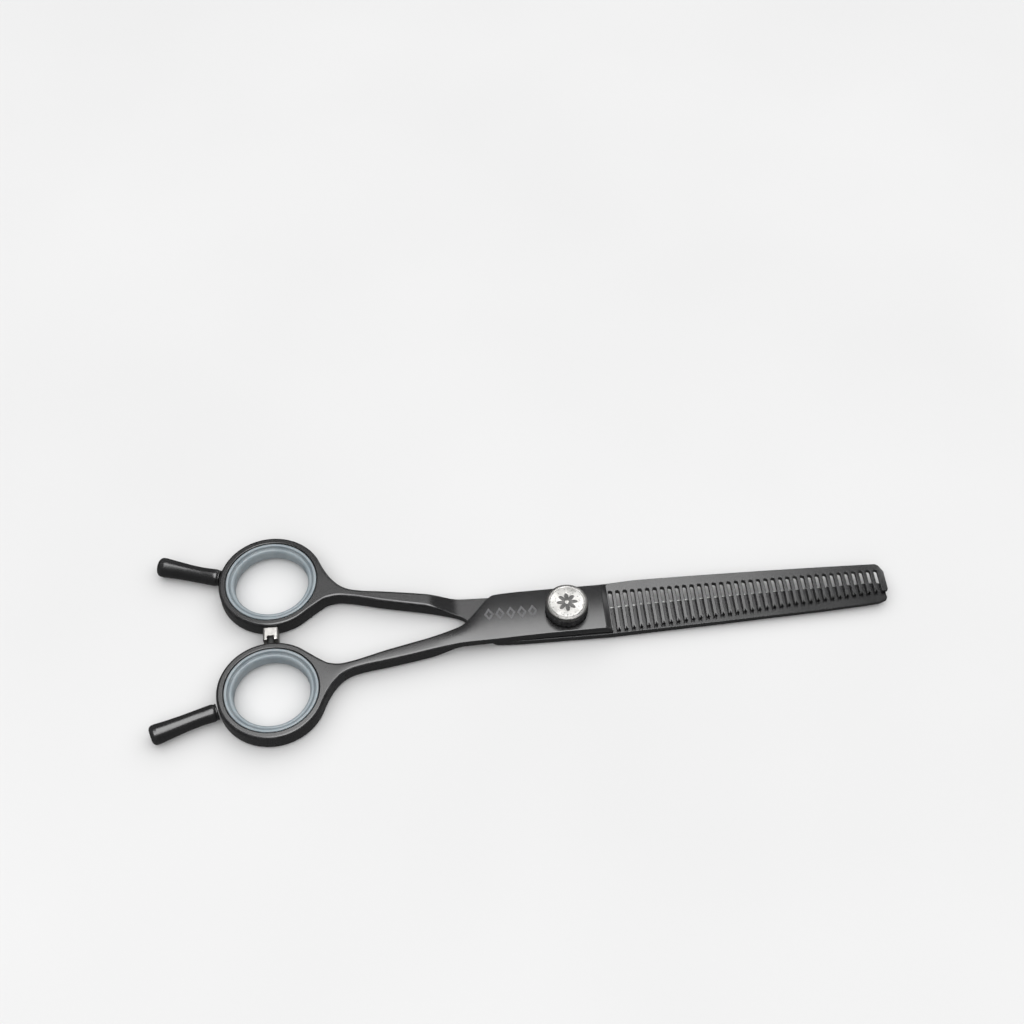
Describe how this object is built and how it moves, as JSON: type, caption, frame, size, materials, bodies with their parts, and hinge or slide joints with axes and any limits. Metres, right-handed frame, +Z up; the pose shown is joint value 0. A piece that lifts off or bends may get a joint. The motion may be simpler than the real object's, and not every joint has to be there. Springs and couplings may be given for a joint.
{
  "type": "thinning shears",
  "caption": "Hair-thinning shears: toothed blade over a plain blade, finger rings with soft inserts and rests, and a tension dial.",
  "frame": {"origin": "on the pivot axis, at the flat back of the pivot nut, in the plane that the shears lie on", "axes": "+X along the closed blades to their tips, +Y to the ring of the plain cutting half, +Z up out of the tension dial"},
  "size_m": [0.1719, 0.0538, 0.0079],
  "materials": {
    "black_coat": "satin black coating over steel, worn bright on the cutting edge",
    "black_dial": "black, fine-fluted",
    "silver_cap": "bright, with an etched rosette",
    "polished_steel": "polished",
    "screw_steel": "turned",
    "spring_steel": "tempered",
    "bush_bronze": "turned bronze",
    "white_nylon": "plain",
    "blue_silicone": "soft, slightly see-through blue-grey",
    "black_rubber": "matt"
  },
  "bodies": {
    "cutting_half": {"cutting_blade_half": "black_coat", "upper_finger_insert": "blue_silicone", "upper_finger_rest": "black_coat", "bumper_stud": "polished_steel", "bumper_pad": "black_rubber", "pivot_nut": "screw_steel"},
    "comb_half": {"comb_blade_half": "black_coat", "lower_finger_insert": "blue_silicone", "lower_finger_rest": "black_coat", "pivot_bush": "bush_bronze", "friction_washer": "white_nylon", "ride_washer": "white_nylon"},
    "spring": {"leaf_spring": "spring_steel"},
    "dial": {"tension_dial": "black_dial", "dial_cap": "silver_cap", "pivot_screw": "screw_steel"}
  },
  "joints": [
    {"name": "blade_pivot", "type": "hinge", "parent": "cutting_half", "child": "comb_half", "pos_m": [0, 0, 0.0024], "axis": [0, 0, 1], "range_deg": [0, 145]},
    {"name": "dial_travel", "type": "slide", "parent": "cutting_half", "child": "spring", "axis": [0, 0, 1], "range_m": [-0.000125, 0.000125]},
    {"name": "dial_turn", "type": "hinge", "parent": "spring", "child": "dial", "pos_m": [0, 0, 0.0058], "axis": [0, 0, 1], "range_deg": [-91, 91]}
  ],
  "couplings": [
    {"joint": "dial_turn", "follows": "dial_travel", "rad_per_m": 12566}
  ]
}
